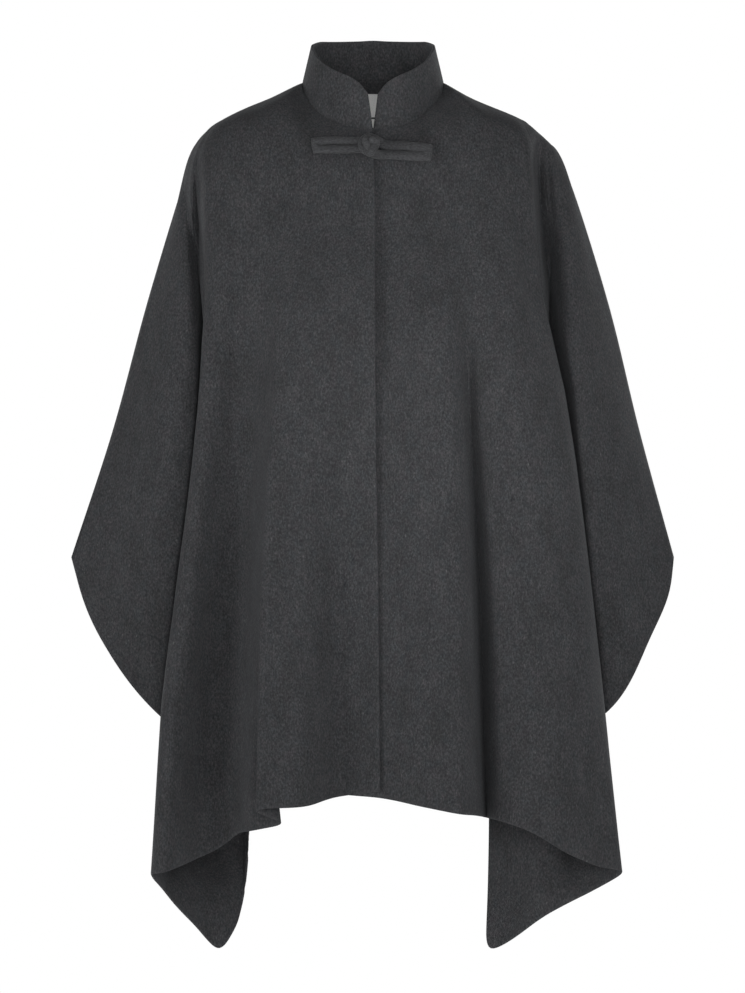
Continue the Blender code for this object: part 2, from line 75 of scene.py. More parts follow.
# ---------------------------------------------------------------- back panel
# One piece of double-faced wool, from the back neck seam to the hem. It hangs in wide folds from the
# shoulders, and joins the fronts along the overarm seams.
WALL = 0.0028
PANEL_ROWS = 21  # the rows of points in a panel's solid
STEP_WIDE, STEP_DOWN = 6, 8  # fine steps between two of its points
SAME_POINT = 1e-5
SAME_LENGTH = 1e-6
EDGES = ("neck", "hem", "start", "end")
EDGE_ROUNDING = 0.0012
SEAM_ROUNDING = 0.0003
CLOSING = 4  # the points close up beside a rim over this many times its rounding
EDGE_ARC = (50, 0, -50)  # degrees round the rim, from the outside to the inside
SEAM_LET_OUT = 0.00025
SEAM_REACH = 0.015  # how far from a seam the shell still follows the solid's own directions


def solid_grid(node, wall, deep, corner, toward):
    """The points of a cloth solid's outer and inner faces, [run][row], walked from a corner of its rim."""
    solid = bmesh.new()
    solid.from_mesh(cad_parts[node].data)
    bmesh.ops.remove_doubles(solid, verts=solid.verts, dist=SAME_POINT)
    across = [edge for edge in solid.edges if abs(edge.calc_length() - wall) < SAME_LENGTH]
    beside_across = {face for edge in across for face in edge.link_faces}
    across = [edge for edge in across if is_on_rim(edge, beside_across)]
    twin = {}
    for edge in across:
        twin[edge.verts[0]], twin[edge.verts[1]] = edge.verts[1], edge.verts[0]
    rim_faces = {face for edge in across for face in edge.link_faces}
    beside = {}
    for edge in solid.edges:
        if sum(face in rim_faces for face in edge.link_faces) == 1:
            for a, b in (edge.verts, reversed(edge.verts)):
                beside.setdefault(a, []).append(b)
    start = min(beside, key=lambda vertex: (vertex.co - Vector(corner)).length)
    grids = []
    for first in (start, twin[start]):
        second = min(beside[first], key=lambda vertex: (vertex.co - Vector(toward)).length)
        loop = [first, second]
        while len(loop) < len(beside) // 2:
            loop.append(next(v for v in beside[loop[-1]] if v is not loop[-2]))
        wide = len(loop) // 2 + 2 - deep
        down = [loop[0]] + loop[:-deep:-1]
        rows = [loop[:wide]]
        for j in range(1, deep):
            row = [down[j]]
            for i in range(wide - 1):
                a, b, d = rows[-1][i], rows[-1][i + 1], row[i]
                row.append(fourth_corner(a, b, d, rim_faces))
            rows.append(row)
        grids.append(np.array([[tuple(vertex.co) for vertex in row] for row in rows]).transpose(1, 0, 2))
    solid.free()
    return grids


def is_on_rim(edge, rim_faces):
    """Whether the faces beside an edge as long as the wall is thick go on along the rim."""
    return all(any(other in rim_faces for e in face.edges if e is not edge for other in e.link_faces
                   if other is not face) for face in edge.link_faces)


def fourth_corner(a, b, d, rim_faces):
    """The corner opposite a, in a four-sided face that was cut in two triangles."""
    for face in a.link_faces:
        if face in rim_faces or d not in face.verts:
            continue
        third = next(v for v in face.verts if v is not a and v is not d)
        if third is b:
            edge = next(e for e in face.edges if a not in e.verts)
            other = next(f for f in edge.link_faces if f is not face)
            return next(v for v in other.verts if v is not b and v is not d)
        if any(b in f.verts and third in f.verts for f in a.link_faces if f is not face):
            return third
    raise ValueError("the walk over the cloth's faces lost its way")


def smooth_line(points, steps):
    """A cubic spline through many lines' points at once, [point][line][xyz], with steps between points."""
    gaps = np.linalg.norm(np.diff(points, axis=0), axis=-1).mean(axis=1) ** 0.5
    knots = np.concatenate([[0], np.cumsum(gaps)])
    count = len(knots)
    system = np.eye(count)
    right = np.zeros_like(points)
    for k in range(1, count - 1):
        system[k, k - 1:k + 2] = gaps[k - 1], 2 * (gaps[k - 1] + gaps[k]), gaps[k]
        right[k] = 6 * ((points[k + 1] - points[k]) / gaps[k] - (points[k] - points[k - 1]) / gaps[k - 1])
    bend = np.linalg.solve(system, right.reshape(count, -1)).reshape(points.shape)
    fine = []
    for k in range(count - 1):
        last = k == count - 2
        for t in np.linspace(0, gaps[k], steps[k] + 1)[:None if last else -1]:
            u = gaps[k] - t
            fine.append((bend[k] * u ** 3 + bend[k + 1] * t ** 3) / (6 * gaps[k])
                        + (points[k] / gaps[k] - bend[k] * gaps[k] / 6) * u
                        + (points[k + 1] / gaps[k] - bend[k + 1] * gaps[k] / 6) * t)
    return np.array(fine)


def fine_grid(coarse, steps_wide, step_down):
    """A smooth surface through a grid of points."""
    grid = smooth_line(coarse, steps_wide)
    return smooth_line(grid.transpose(1, 0, 2), [step_down] * (coarse.shape[1] - 1)).transpose(1, 0, 2)


def units(vectors):
    return vectors / np.maximum(np.linalg.norm(vectors, axis=-1, keepdims=True), 1e-12)


def lengths(grid, axis):
    """How far along its line each point of the grid lies."""
    steps = np.linalg.norm(np.diff(grid, axis=axis), axis=-1)
    start = np.zeros_like(np.take(steps, [0], axis=axis))
    return np.cumsum(np.concatenate([start, steps], axis=axis), axis=axis)


def drawn_in(grid, axis, first, last):
    """The same grid with its two ends along an axis drawn in, and the points near them closed up."""
    grid = np.moveaxis(grid, axis, 0)
    along = lengths(grid, 0)
    total = along[-1]
    moved = (along + first * np.clip(1 - along / (CLOSING * first), 0, 1)
             - last * np.clip(1 - (total - along) / (CLOSING * last), 0, 1))
    result = np.empty_like(grid)
    for line in range(grid.shape[1]):
        for k in range(3):
            result[:, line, k] = np.interp(moved[:, line], along[:, line], grid[:, line, k])
    return np.moveaxis(result, 0, axis)


def seams_let_out(middle, seams):
    """The middle surface let out at its seams, where two pieces meet with no gap."""
    result = middle.copy()
    for seam in seams:
        here, inside = {"neck": (np.s_[:, 0], np.s_[:, 1]), "hem": (np.s_[:, -1], np.s_[:, -2]),
                        "start": (np.s_[0], np.s_[1]), "end": (np.s_[-1], np.s_[-2])}[seam]
        result[here] += units(middle[here] - middle[inside]) * SEAM_LET_OUT
    return result


def cloth_piece(name, middle, across, wall, seams):
    """A cloth shell round a middle surface, with its rim rounded and how near a cut edge is as "edge"."""
    wide, deep = middle.shape[:2]
    middle = seams_let_out(middle, seams)
    rounding = {edge: SEAM_ROUNDING if edge in seams else EDGE_ROUNDING for edge in EDGES}
    inset = drawn_in(middle, 0, rounding["start"], rounding["end"])
    inset = drawn_in(inset, 1, rounding["neck"], rounding["hem"])
    ring = [(i, 0) for i in range(wide)] + [(wide - 1, j) for j in range(1, deep)]
    ring += [(i, deep - 1) for i in range(wide - 2, -1, -1)] + [(0, j) for j in range(deep - 2, 0, -1)]
    at_ring = tuple(np.array(ring).T)
    points = [(inset + across * wall / 2).reshape(-1, 3), (inset - across * wall / 2).reshape(-1, 3)]
    for degrees in EDGE_ARC:
        turn = radians(degrees)
        points.append(inset[at_ring] + (middle - inset)[at_ring] * cos(turn)
                      + across[at_ring] * wall / 2 * sin(turn))
    size = wide * deep
    index = np.arange(size).reshape(wide, deep)
    a, b, c, d = index[:-1, :-1], index[1:, :-1], index[1:, 1:], index[:-1, 1:]
    outer = np.stack([a, b, c, d], axis=-1).reshape(-1, 4)
    faces = [tuple(face) for face in outer] + [tuple(face) for face in size + outer[:, ::-1]]
    rings = [[index[at] for at in ring]]
    rings += [[2 * size + k * len(ring) + n for n in range(len(ring))] for k in range(len(EDGE_ARC))]
    rings += [[size + index[at] for at in ring]]
    for upper, lower in zip(rings, rings[1:]):
        for n in range(len(ring)):
            after = (n + 1) % len(ring)
            faces.append((upper[after], upper[n], lower[n], lower[after]))
    mesh = bpy.data.meshes.new(name)
    mesh.from_pydata([tuple(point) for point in np.concatenate(points)], [], faces)
    shell = bmesh.new()
    shell.from_mesh(mesh)
    if shell.calc_volume(signed=True) < 0:
        bmesh.ops.reverse_faces(shell, faces=shell.faces)
    shell.to_mesh(mesh)
    shell.free()
    mesh.shade_smooth()

    near = distance_to(middle, [edge for edge in EDGES if edge not in seams])
    near = np.concatenate([near.ravel(), near.ravel()] + [near[at_ring]] * len(EDGE_ARC))
    attribute = mesh.attributes.new("edge", "FLOAT", "POINT")
    attribute.data.foreach_set("value", near.astype(np.float32))
    flat = np.stack([lengths(middle, 0), lengths(middle, 1)], axis=-1).reshape(-1, 2)
    flat = np.concatenate([flat, flat] + [flat.reshape(wide, deep, 2)[at_ring]] * len(EDGE_ARC))
    corners = np.zeros(len(mesh.loops), np.int32)
    mesh.loops.foreach_get("vertex_index", corners)
    mesh.uv_layers.new(name="cloth").data.foreach_set("uv", flat[corners].astype(np.float32).ravel())
    piece = bpy.data.objects.new(name, mesh)
    bpy.context.scene.collection.objects.link(piece)
    return piece


def form_of(node, wall, deep, corner, toward, step_wide, step_down, closer=()):
    """The fine middle surface of a cloth solid, the directions across its wall, and its run numbers.

    Between the runs named in closer, (run, step), the points lie closer together.
    """
    outer, inner = solid_grid(node, wall, deep, corner, toward)
    steps = [dict(closer).get(run, step_wide) for run in range(len(outer) - 1)]
    runs = np.concatenate([run + np.arange(step) / step for run, step in enumerate(steps)] + [[len(steps)]])
    middle = fine_grid((outer + inner) / 2, steps, step_down)
    return middle, units(fine_grid(outer - inner, steps, step_down)), runs[:, None]


def directions(middle, across, seams):
    """Directions across the shell once creases are in it. Along the seams they stay as the form has them."""
    normals = units(np.cross(np.gradient(middle, axis=0), np.gradient(middle, axis=1)))
    normals *= np.sign((normals * across).sum(axis=-1, keepdims=True))
    keep = 1 - np.clip(distance_to(middle, seams) / SEAM_REACH, 0, 1)[..., None]
    return units(normals * (1 - keep) + across * keep)


def distance_to(middle, edges):
    """How far each point of the cloth is from the nearest of these edges."""
    wide_at, down_at = lengths(middle, 0), lengths(middle, 1)
    known = {"neck": down_at, "hem": down_at[:, -1:] - down_at,
             "start": wide_at, "end": wide_at[-1:] - wide_at}
    return np.min([known[edge] for edge in edges], axis=0)


def with_inputs(node, settings):
    """The same node, with these of its inputs set."""
    for key, value in settings.items():
        node.inputs[key].default_value = value
    return node


def new_material(name, settings):
    """A new material whose shader has these settings, with its nodes, its links and the shader."""
    made = bpy.data.materials.new(name)
    made.use_nodes = True
    nodes = made.node_tree.nodes
    return made, nodes, made.node_tree.links, with_inputs(nodes["Principled BSDF"], settings)


def in_relief(nodes, links, shader, height, strength, distance):
    """A fine relief on the surface, as high as the value named."""
    bump = with_inputs(nodes.new("ShaderNodeBump"), {"Strength": strength, "Distance": distance})
    links.new(height, bump.inputs["Height"])
    links.new(bump.outputs["Normal"], shader.inputs["Normal"])


def wool(name):
    """Charcoal double-faced wool: mixed dark and pale fibres, brushed to a short matt nap."""
    made, nodes, links, shader = new_material(name, {
        "Roughness": 0.95, "Specular IOR Level": 0.15, "Sheen Weight": 0.04, "Sheen Roughness": 0.6,
        "Sheen Tint": (0.75, 0.78, 0.82, 1)})
    place = nodes.new("ShaderNodeTexCoord")

    def noise(scale, detail, squeeze):
        mapping = with_inputs(nodes.new("ShaderNodeMapping"), {"Scale": squeeze})
        links.new(place.outputs["Object"], mapping.inputs["Vector"])
        texture = with_inputs(nodes.new("ShaderNodeTexNoise"),
                              {"Scale": scale, "Detail": detail, "Roughness": 0.6})
        links.new(mapping.outputs["Vector"], texture.inputs["Vector"])
        return texture.outputs["Fac"]

    def ramp(value, *stops):
        made_ramp = nodes.new("ShaderNodeValToRGB")
        elements = made_ramp.color_ramp.elements
        while len(elements) < len(stops):
            elements.new(0.5)
        for element, (at, colour) in zip(elements, stops):
            element.position = at
            element.color = (*colour, 1)
        links.new(value, made_ramp.inputs["Fac"])
        return made_ramp.outputs["Color"]

    def multiplied(a, b):
        mix = nodes.new("ShaderNodeMix")
        mix.data_type = "RGBA"
        mix.blend_type = "MULTIPLY"
        mix.inputs["Factor"].default_value = 1.0
        links.new(a, mix.inputs["A"])
        links.new(b, mix.inputs["B"])
        return mix.outputs["Result"]

    fibres = ramp(noise(560, 3, (1, 1, 0.6)),
                  (0.28, (0.0155, 0.016, 0.0175)), (0.5, (0.0272, 0.0277, 0.0292)),
                  (0.74, (0.050, 0.0505, 0.052)))
    flecks = ramp(noise(430, 1, (1, 1, 0.45)),
                  (0.24, (0.62, 0.62, 0.64)), (0.34, (1, 1, 1)), (0.68, (1, 1, 1)),
                  (0.78, (1.75, 1.75, 1.72)))
    clouds = ramp(noise(45, 3, (1, 1, 0.5)),
                  (0.3, (0.87, 0.87, 0.86)), (0.5, (1, 1, 1.01)), (0.7, (1.13, 1.13, 1.13)))
    tints = ramp(noise(110, 2, (1, 1, 1)),
                 (0.32, (0.96, 1.0, 1.02)), (0.5, (1, 1, 1)), (0.68, (1.04, 0.99, 1.01)))
    body = multiplied(multiplied(fibres, flecks), multiplied(clouds, tints))
    # Painted highlight: within 3 mm of a cut edge the colour is painted up to 8% lighter, for the light that
    # the cut edges catch.
    edge = nodes.new("ShaderNodeAttribute")
    edge.attribute_name = "edge"
    rim = with_inputs(nodes.new("ShaderNodeMapRange"),
                      {"From Min": 0.0, "From Max": 0.003, "To Min": 1.08, "To Max": 1.0})
    links.new(edge.outputs["Fac"], rim.inputs["Value"])
    links.new(multiplied(body, rim.outputs["Result"]), shader.inputs["Base Color"])
    in_relief(nodes, links, shader, noise(650, 3, (1, 1, 0.5)), 0.4, 0.0011)
    return made


MM = 0.001
CREASE_LEAD = 40  # how far above its top a crease begins, in millimetres
CREASE_FADE = 60  # and how far below that it has come in full
SETTLED_RISE = 0.5
SETTLED_REACH = 0.08  # how far from a seam the low hollows are whole
WAVES = ((1, 96, 310, 0.4), (0.7, 61, 205, 2.1), (0.5, 37, 150, 4.4))  # share, wide, tall and phase

# A crease: how far it stands out (+) or lies back (-) at its top, middle and foot, how wide it is to the
# viewer's left and right, and where its top, middle and foot lie. In millimetres.
Crease = namedtuple(
    "Crease", "name top_out mid_out foot_out left right top_x top_z mid_x mid_z foot_x foot_z")
BACK_CREASES = [
    Crease("middle fold", 2, 6, 9, 30, 22, -12, -230, -20, -520, -34, -860),
    Crease("valley beside the middle", 0, -5, -8, 20, 28, 32, -290, 42, -560, 56, -880),
    Crease("second valley", -2, -6, -5, 26, 14, -60, -340, -68, -600, -86, -880),
    Crease("ridge to the right arm", 0, 5, 8, 22, 18, -98, -250, -112, -520, -132, -850),
    Crease("ridge to the left arm", 2, 6, 4, 18, 30, 90, -240, 106, -500, 130, -840),
    Crease("drag from the neck", -1, -4, 0, 18, 26, 56, -100, 82, -190, 100, -310),
    Crease("drag to the right shoulder", -1, -3, 0, 22, 16, -64, -120, -96, -190, -112, -260),
]


def curve_through(z, crease, top, mid, foot):
    """The value at height z of a quadratic through a crease's three values, in its own units."""
    za, zb, zc = crease.top_z, crease.mid_z, crease.foot_z
    return (top * (z - zb) * (z - zc) / ((za - zb) * (za - zc))
            + mid * (z - za) * (z - zc) / ((zb - za) * (zb - zc))
            + foot * (z - za) * (z - zb) / ((zc - za) * (zc - zb)))


def creased(middle, creases, forward):
    """The middle surface with its creases drawn in, forward being the way that the cloth faces."""
    x, z = middle[..., 0] / MM, middle[..., 2] / MM
    out = np.zeros_like(x)
    for crease in creases:
        inside = np.clip(z, crease.foot_z, crease.top_z)
        beside = x - curve_through(inside, crease, crease.top_x, crease.mid_x, crease.foot_x)
        width = np.where(beside < 0, crease.left, crease.right)
        share = np.interp(-z, (-crease.top_z, -crease.mid_z, -crease.foot_z),
                          (crease.top_out, crease.mid_out, crease.foot_out))
        fade = np.clip((crease.top_z + CREASE_LEAD - z) / CREASE_FADE, 0, 1)
        out += share * fade * fade * (3 - 2 * fade) * np.exp(-(beside / width) ** 2)
    return middle + np.array(forward) * (out * MM)[..., None]


def settled(middle, seams, forward):
    """The middle surface with the low, uneven hollows that soft heavy wool has everywhere."""
    x, z = middle[..., 0] / MM, middle[..., 2] / MM
    waves = sum(share * wave(x, z, *shape) for share, *shape in WAVES)
    keep = np.clip(distance_to(middle, seams) / SETTLED_REACH, 0, 1)
    return middle + np.array(forward) * (waves * keep * SETTLED_RISE * MM)[..., None]


def wave(x, z, wide, tall, phase):
    """Upright waves across the cloth, so wide, that wander to the sides over so tall a length."""
    return np.sin(2 * pi * x / wide + 1.3 * np.sin(2 * pi * z / tall + phase) + phase)


BACKWARD, FORWARD = (0, 1, 0), (0, -1, 0)
BACK_SEAMS = ("neck", "start", "end")
middle, across = form_of("back", WALL, PANEL_ROWS, (-0.193, 0, -0.059), (-0.08, 0, 0.005),
                         STEP_WIDE, STEP_DOWN)[:2]
middle = settled(creased(middle, BACK_CREASES, BACKWARD), BACK_SEAMS, BACKWARD)
back = cloth_piece("back_cloth", middle, directions(middle, across, BACK_SEAMS), WALL, BACK_SEAMS)
back.data.materials.append(wool("back_wool"))
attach(back, "root")
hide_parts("back")


# ---------------------------------------------------------------- fronts
# Two pieces of the same wool. The wearer's right front laps over the left one, and both fold back at the
# sides in front of the forearms. The hems and the open edges show no stitches.
LAP_TOP, UNDERLAP_TOP = (-0.0005, -0.067, -0.053), (0.0005, -0.0615, -0.053)
FRONT_SEAMS = ("neck", "end")

RIGHT_CREASES = [
    Crease("crest", 0, 4, 6, 10, 16, -110, -250, -117, -470, -138, -800),
    Crease("shade beside the crest", 0, -3, -5, 18, 10, -124, -270, -132, -470, -150, -820),
    Crease("slope from the side fold", 0, -8, -15, 20, 22, -172, -400, -181, -560, -196, -830),
    Crease("floor of the valley", -7, -16, -14, 32, 12, -134, -280, -142, -560, -152, -830),
    Crease("soft valley", 0, -5, -6, 32, 32, -19, -480, -22, -620, -24, -815),
    Crease("soft rise", 0, 2, 4, 24, 26, -78, -380, -80, -560, -84, -800),
    Crease("drag from the neck", -2, -4, 0, 14, 26, -70, -66, -92, -150, -104, -262),
    Crease("furrow from the shoulder", -10, -30, 0, 6, 6, -199, -100, -199, -170, -197, -280),
]
LEFT_CREASES = [
    Crease("groove, soft at its top", -4, -7, -4, 20, 20, 103, -240, 107, -340, 115, -500),
    Crease("groove, wide at its foot", 0, -9, -16, 30, 30, 113, -430, 126, -620, 140, -820),
    Crease("lip left of the groove", 3, 9, 9, 66, 10, 82, -260, 88, -430, 98, -815),
    Crease("broad ridge", 0, 18, 6, 60, 14, 176, -235, 212, -390, 238, -640),
    Crease("soft valley", 0, -2, -3, 20, 24, 26, -420, 30, -600, 34, -800),
    Crease("furrow from the shoulder", -24, -46, 0, 6, 10, 188, -80, 197, -190, 213, -300),
    Crease("small fold at the shoulder", -4, -6, 0, 4, 4, 201, -84, 204, -130, 208, -190),
    Crease("drag from the neck", -2, -3, 0, 26, 16, 60, -70, 84, -150, 98, -240),
    Crease("flank valley", 0, -3, -5, 18, 18, 196, -360, 214, -560, 236, -800),
]


# How a side fold lies at each height: how far its turn is drawn in to the middle, and how deep and how wide
# the gap is between the turn and the cloth that goes on to the forearm. In millimetres.
Fold = namedtuple("Fold", "z drawn_in deep wide")
RIGHT_FOLD = [Fold(-80, 0, 5, 5), Fold(-100, 1, 14, 7), Fold(-150, 5, 26, 10), Fold(-200, 11, 36, 13),
              Fold(-240, 11, 34, 12), Fold(-300, 6, 34, 9), Fold(-350, 4, 26, 6), Fold(-400, 3, 18, 5),
              Fold(-500, 4, 14, 4), Fold(-600, 4, 14, 4), Fold(-700, 0, 12, 4), Fold(-760, 0, 0, 4)]
LEFT_FOLD = [Fold(-75, 0, 4, 12), Fold(-92, 4, 24, 17), Fold(-130, 7, 42, 19), Fold(-180, 12, 56, 21),
             Fold(-230, 14, 54, 20), Fold(-300, 7, 54, 17), Fold(-350, 2, 48, 14), Fold(-430, 0, 38, 9),
             Fold(-500, 0, 30, 7), Fold(-600, 0, 24, 6), Fold(-700, 0, 16, 5), Fold(-760, 0, 0, 4)]
FOLD_RUNS = (11, 14, 17, 25)  # the runs between which the turn is drawn in: from, fully, fully, to
BEHIND_RUNS = (24, 26)  # the runs where the cloth behind the fold begins
CLOSER_RUNS = ((25, 10), (26, 14), (27, 18), (28, 18))  # runs with more fine steps to the next, and how many


def eased(value, start, end):
    """0 before start, 1 after end, smooth between."""
    share = np.clip((value - start) / (end - start), 0, 1)
    return share * share * (3 - 2 * share)


def side_folded(middle, runs, fold, sign):
    """The middle surface with its side fold drawn in, and a gap behind the fold's turn."""
    heights = [-row.z for row in fold]

    def at(z, column):
        return np.interp(-z, heights, [getattr(row, column) for row in fold])

    result = middle.copy()
    z = middle[..., 2] / MM
    weight = eased(runs, *FOLD_RUNS[:2]) * (1 - eased(runs, *FOLD_RUNS[2:]))
    result[..., 0] -= sign * at(z, "drawn_in") * weight * MM
    front = result[runs[:, 0] <= FOLD_RUNS[2] + 1]
    turn = np.argmax(front[..., 0] * sign, axis=0)
    edge = front[turn, np.arange(front.shape[1])]
    order = np.argsort(-edge[:, 2])
    turn_x = np.interp(-result[..., 2], -edge[order, 2], edge[order, 0] * sign)
    beside = (result[..., 0] * sign - turn_x) / MM / at(z, "wide")
    pushed = (1 - np.clip(beside, 0, 1) ** 3) ** 2 * eased(runs, *BEHIND_RUNS)
    result[..., 1] += pushed * at(z, "deep") * MM
    return result


# Broad swells (+) and hollows (-): how far out, where, how wide and how tall, in millimetres, and the runs
# that they lie between. SWELLS_BELOW is how far below the neck they begin, and from where they are whole.
SWELLS_BELOW = (92, 120)
Swell = namedtuple("Swell", "name out x z wide tall first last")
RIGHT_SWELLS = [
    Swell("chest", 9, -14, -268, 84, 78, 0, 16),
    Swell("hollow of the yoke", -8, -40, -168, 76, 52, 0, 16),
    Swell("hollow under the shoulder", -4, -110, -170, 44, 80, 0, 16),
    Swell("inside of the corner", -56, -205, -872, 70, 40, 16.5, 24.5),
]
LEFT_SWELLS = [
    Swell("chest", 8, 74, -272, 76, 78, 0, 16),
    Swell("hollow of the yoke", -9, 50, -172, 64, 56, 0, 16),
    Swell("inside of the corner", -26, 238, -872, 34, 30, 16.5, 24.5),
    Swell("hollow below the knot", -6, 5, -88, 6, 7, 0, 16),
]


def swelled(middle, runs, swells):
    """The middle surface with its swells and hollows. They stop short of the fastening and the neck."""
    x, z = middle[..., 0] / MM, middle[..., 2] / MM
    out = np.zeros_like(x)
    for swell in swells:
        near = ((x - swell.x) / swell.wide) ** 2 + ((z - swell.z) / swell.tall) ** 2
        held = eased(runs, swell.first - 1, swell.first) * (1 - eased(runs, swell.last, swell.last + 1))
        out += swell.out * np.exp(-near) * held
    result = middle.copy()
    result[..., 1] -= out * eased(-z, *SWELLS_BELOW) * MM
    return result


# The groove of the left front is shallow at its top: the runs of its lips, and how far its cloth is let out
# towards the straight line between them, 0 to 1, at each height in millimetres
GROOVE_LIPS = (5, 9)
GROOVE_LET_OUT = [(-100, 1), (-240, 0.92), (-300, 0.62), (-360, 0.32), (-450, 0.1), (-520, 0)]


def groove_let_out(middle, runs):
    """The middle surface with the top of its groove let out, at the same heights."""
    first, last = (int(np.argmin(np.abs(runs[:, 0] - lip))) for lip in GROOVE_LIPS)
    heights, shares = zip(*GROOVE_LET_OUT)
    result = middle.copy()
    part = middle[first:last + 1]
    between = ((runs[first:last + 1] - GROOVE_LIPS[0]) / (GROOVE_LIPS[1] - GROOVE_LIPS[0]))[..., None]
    straight = middle[first] * (1 - between) + middle[last] * between
    share = np.interp(-part[..., 2] / MM, [-z for z in heights], shares)[..., None]
    result[first:last + 1] = part + (straight - part) * share * (1, 1, 0)
    return result


for side, sign, lap_top, creases, swells, fold in (
        ("right", -1, LAP_TOP, RIGHT_CREASES, RIGHT_SWELLS, RIGHT_FOLD),
        ("left", 1, UNDERLAP_TOP, LEFT_CREASES, LEFT_SWELLS, LEFT_FOLD)):
    middle, across, runs = form_of("front_" + side, WALL, PANEL_ROWS, lap_top, (sign * 0.03, -0.062, -0.045),
                                   STEP_WIDE, STEP_DOWN, CLOSER_RUNS)
    if side == "left":
        middle = groove_let_out(middle, runs)
    middle = side_folded(middle, runs, fold, sign)
    middle = creased(swelled(middle, runs, swells), creases, FORWARD)
    middle = settled(middle, FRONT_SEAMS, FORWARD)
    across = directions(middle, across, FRONT_SEAMS)
    piece = cloth_piece(f"front_{side}_cloth", middle, across, WALL, FRONT_SEAMS)
    piece.data.materials.append(wool(f"front_{side}_wool"))
    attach(piece, "root")
    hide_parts("front_" + side)


# ---------------------------------------------------------------- collar
# A stand collar in one piece, sewn to the neck from the lap's end round the back to the underlap's end. It
# is a little thicker than the panels, and has no creases.
COLLAR_WALL = 0.003
COLLAR_ROWS = 6
COLLAR_STEP_DOWN = 6
COLLAR_SEAMS = ("neck",)
middle, across = form_of("collar", COLLAR_WALL, COLLAR_ROWS, LAP_TOP, (-0.03, -0.062, -0.045),
                         STEP_WIDE, COLLAR_STEP_DOWN)[:2]
across = directions(middle, across, COLLAR_SEAMS)
collar = cloth_piece("collar_cloth", middle, across, COLLAR_WALL, COLLAR_SEAMS)
collar.data.materials.append(wool("collar_wool"))
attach(collar, "root")
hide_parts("collar")


# ---------------------------------------------------------------- fastening
# A knot-and-loop of cords rolled from the same wool. Each strap is one cord doubled and sewn down from
# behind. The loop holds the knot, which is tied in the end of the other cord.
def cord_wool(name):
    """The same wool, cut on the bias and rolled tight, coloured paler than the panels, with its fibres drawn
    out along the cord.
    """
    made, nodes, links, shader = new_material(name, {
        "Roughness": 0.9, "Specular IOR Level": 0.2, "Sheen Weight": 0.06})
    place = nodes.new("ShaderNodeTexCoord")
    drawn_out = with_inputs(nodes.new("ShaderNodeMapping"), {"Scale": (0.35, 1, 1)})
    links.new(place.outputs["Object"], drawn_out.inputs["Vector"])
    fibres = with_inputs(nodes.new("ShaderNodeTexNoise"), {"Scale": 900, "Detail": 3})
    links.new(drawn_out.outputs["Vector"], fibres.inputs["Vector"])
    tint = nodes.new("ShaderNodeValToRGB")
    dark, pale = tint.color_ramp.elements
    dark.position, dark.color = 0.3, (0.020, 0.0205, 0.022, 1)
    pale.position, pale.color = 0.7, (0.054, 0.055, 0.058, 1)
    links.new(fibres.outputs["Fac"], tint.inputs["Fac"])
    links.new(tint.outputs["Color"], shader.inputs["Base Color"])
    in_relief(nodes, links, shader, fibres.outputs["Fac"], 0.4, 0.0006)
    return made


def taken_over(node, name, levels):
    """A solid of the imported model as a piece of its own, its bends made finer in so many levels."""
    piece = bpy.data.objects.new(name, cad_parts[node].data.copy())
    piece.data.materials.clear()
    bpy.context.scene.collection.objects.link(piece)
    bpy.ops.object.select_all(action="DESELECT")
    piece.select_set(True)
    bpy.context.view_layer.objects.active = piece
    bpy.ops.object.mode_set(mode="EDIT")
    bpy.ops.mesh.select_all(action="SELECT")
    bpy.ops.mesh.remove_doubles(threshold=SAME_POINT)
    bpy.ops.mesh.tris_convert_to_quads(face_threshold=pi, shape_threshold=pi)
    bpy.ops.object.mode_set(mode="OBJECT")
    if levels:
        smooth = piece.modifiers.new("smooth", "SUBSURF")
        smooth.levels = smooth.render_levels = levels
        bpy.ops.object.modifier_apply(modifier=smooth.name)
    bpy.ops.object.shade_smooth()
    return piece


def pressed(mesh, out, bend):
    """Presses a doubled cord flat on the cloth: its sides let out, and its bend, at (x, z), squared."""
    count = len(mesh.vertices)
    points, normals = np.zeros(count * 3), np.zeros(count * 3)
    mesh.vertices.foreach_get("co", points)
    mesh.vertices.foreach_get("normal", normals)
    points, normals = points.reshape(-1, 3), normals.reshape(-1, 3)
    points += (normals - (normals @ CLOTH_OUT)[:, None] * CLOTH_OUT) * out
    side = np.sign(bend[0])
    at_bend = points[:, 0] * side > bend[0] * side
    beside = points[at_bend] - (bend[0], points[at_bend, 1].mean(), bend[1])
    raised = (beside @ CLOTH_OUT)[:, None] * CLOTH_OUT
    flat = beside - raised
    turn = np.abs(flat[:, 0]) / np.maximum(np.linalg.norm(flat, axis=1), 1e-9)
    square = (1 / np.maximum(turn, np.sqrt(1 - turn ** 2))) ** SQUARED
    points[at_bend] += flat * (square - 1)[:, None]
    mesh.vertices.foreach_set("co", points.ravel())
    mesh.update()


CLOTH_SLOPE = radians(22)
CLOTH_OUT = np.array([0, -cos(CLOTH_SLOPE), sin(CLOTH_SLOPE)])
SQUARED = 0.8  # 0 leaves a bend round, 1 makes it a square
CORD_LEVELS = 2
KNOT_CORD_OUT, LOOP_CORD_OUT = 0.0014, 0.0022  # how far each cord's sides are let out
KNOT_CORD_BEND, LOOP_CORD_BEND = (-0.0593, -0.074), (0.0557, -0.0817)  # where its bend begins, (x, z)
for node, name, let_out, bend in (("frog_strap_right", "knot_cord", KNOT_CORD_OUT, KNOT_CORD_BEND),
                                  ("frog_loop", "loop_cord", LOOP_CORD_OUT, LOOP_CORD_BEND)):
    cord = taken_over(node, name, CORD_LEVELS)
    pressed(cord.data, let_out, bend)
    cord.data.materials.append(cord_wool(name + "_wool"))
    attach(cord, "root")
    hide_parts(node)

